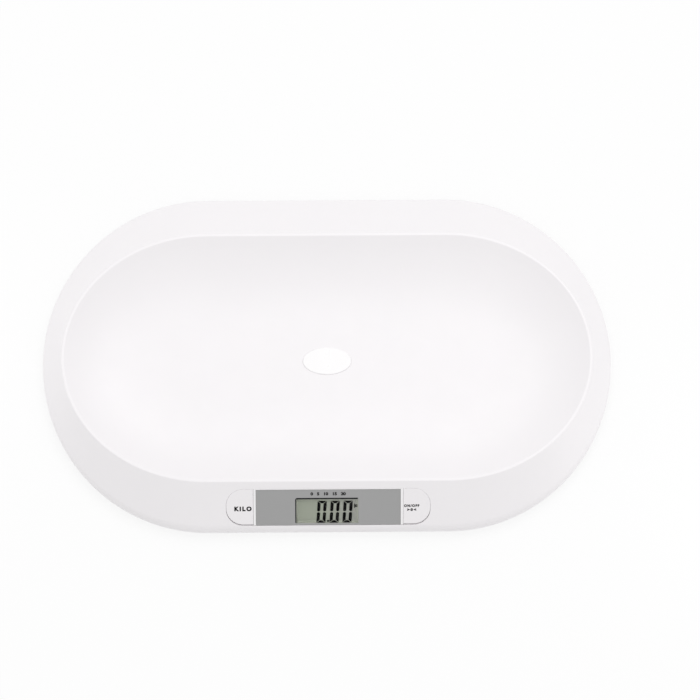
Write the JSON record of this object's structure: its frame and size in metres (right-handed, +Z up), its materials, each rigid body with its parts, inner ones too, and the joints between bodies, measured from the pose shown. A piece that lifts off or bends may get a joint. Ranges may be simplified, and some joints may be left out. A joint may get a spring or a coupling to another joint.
{
  "type": "digital baby weighing scale",
  "caption": "Oval tray scale for weighing a baby: dished white tray on load-cell feet, sloping display with a digital readout and a key at each end.",
  "frame": {"origin": "on the floor under the middle of the tray", "axes": "+X to the right along the tray, +Y from the display edge to the back, +Z up"},
  "size_m": [0.55, 0.33, 0.044],
  "materials": {
    "shell_white": "smooth satin-gloss white moulded ABS",
    "cover_white": "fine-textured white moulded ABS",
    "cap_white": "smooth glossy white moulded plastic",
    "frame_white": "smooth white moulded plastic",
    "key_white": "satin white moulded key",
    "panel_grey": "satin grey printed polycarbonate sheet",
    "window_clear": "clear acrylic window",
    "lcd_clear": "clear display glass",
    "lcd_back": "greenish grey reflective display backing",
    "lcd_ink": "near-black lit display bars",
    "holder_black": "black moulded nylon",
    "rubber_strip": "soft striped contact rubber",
    "foot_rubber": "matt dark grey moulded rubber",
    "circuit_board": "green solder mask on glass-fibre laminate",
    "component_black": "black moulded components",
    "cell_steel": "rolled alloy steel plate",
    "screw_steel": "zinc-plated steel screws",
    "contact_steel": "nickel-plated spring steel",
    "battery_case": "printed sleeve over a steel can",
    "switch_black": "black moulded switch",
    "plunger_plastic": "ivory moulded switch plunger",
    "wire_red": "red PVC insulation",
    "wire_black": "black PVC insulation",
    "wire_white": "pale PVC sheath"
  },
  "bodies": {
    "scale_body": {"top_shell": "shell_white", "bottom_cover": "cover_white", "centre_cap": "cap_white", "cover_screws": "screw_steel", "bracket_screws": "screw_steel", "display_frame": "frame_white", "display_overlay": "panel_grey", "window_lens": "window_clear", "lcd_front_glass": "lcd_clear", "lcd_rear_glass": "lcd_back", "lcd_digits": "lcd_ink", "lcd_holder": "holder_black", "contact_strip": "rubber_strip", "control_board": "circuit_board", "board_screws": "screw_steel", "chip_blob": "component_black", "board_components": "component_black", "switch_housings": "switch_black", "batteries": "battery_case", "battery_contacts": "contact_steel", "battery_springs": "contact_steel", "battery_lead_red": "wire_red", "battery_lead_black": "wire_black", "load_cell_front_left": "cell_steel", "cell_bracket_front_left": "cover_white", "cell_lead_front_left": "wire_white", "load_cell_front_right": "cell_steel", "cell_bracket_front_right": "cover_white", "cell_lead_front_right": "wire_white", "load_cell_back_left": "cell_steel", "cell_bracket_back_left": "cover_white", "cell_lead_back_left": "wire_white", "load_cell_back_right": "cell_steel", "cell_bracket_back_right": "cover_white", "cell_lead_back_right": "wire_white"},
    "unit_key": {"unit_button": "key_white", "unit_switch_plunger": "plunger_plastic"},
    "power_key": {"power_button": "key_white", "power_switch_plunger": "plunger_plastic"},
    "battery_door": {"battery_door": "cover_white"},
    "foot_front_left": {"foot_cup_front_left": "cover_white", "foot_pad_front_left": "foot_rubber"},
    "foot_front_right": {"foot_cup_front_right": "cover_white", "foot_pad_front_right": "foot_rubber"},
    "foot_back_left": {"foot_cup_back_left": "cover_white", "foot_pad_back_left": "foot_rubber"},
    "foot_back_right": {"foot_cup_back_right": "cover_white", "foot_pad_back_right": "foot_rubber"}
  },
  "joints": [
    {"name": "unit_key_press", "type": "slide", "parent": "scale_body", "child": "unit_key", "axis": [0, 0.5579, -0.8299], "range_m": [0, 0.0005], "stiffness_N_per_m": 2500, "springref_m": -0.0003},
    {"name": "power_key_press", "type": "slide", "parent": "scale_body", "child": "power_key", "axis": [0, 0.5579, -0.8299], "range_m": [0, 0.0005], "stiffness_N_per_m": 2500, "springref_m": -0.0003},
    {"name": "battery_door_hinge", "type": "hinge", "parent": "scale_body", "child": "battery_door", "pos_m": [0, -0.0152, 0.007], "axis": [-1, 0, 0], "range_deg": [0, 85]},
    {"name": "foot_slide_front_left", "type": "slide", "parent": "scale_body", "child": "foot_front_left", "axis": [0, 0, 1], "range_m": [0, 0.0004], "stiffness_N_per_m": 2500, "springref_m": -0.002},
    {"name": "foot_slide_front_right", "type": "slide", "parent": "scale_body", "child": "foot_front_right", "axis": [0, 0, 1], "range_m": [0, 0.0004], "stiffness_N_per_m": 2500, "springref_m": -0.002},
    {"name": "foot_slide_back_left", "type": "slide", "parent": "scale_body", "child": "foot_back_left", "axis": [0, 0, 1], "range_m": [0, 0.0004], "stiffness_N_per_m": 2500, "springref_m": -0.002},
    {"name": "foot_slide_back_right", "type": "slide", "parent": "scale_body", "child": "foot_back_right", "axis": [0, 0, 1], "range_m": [0, 0.0004], "stiffness_N_per_m": 2500, "springref_m": -0.002}
  ]
}
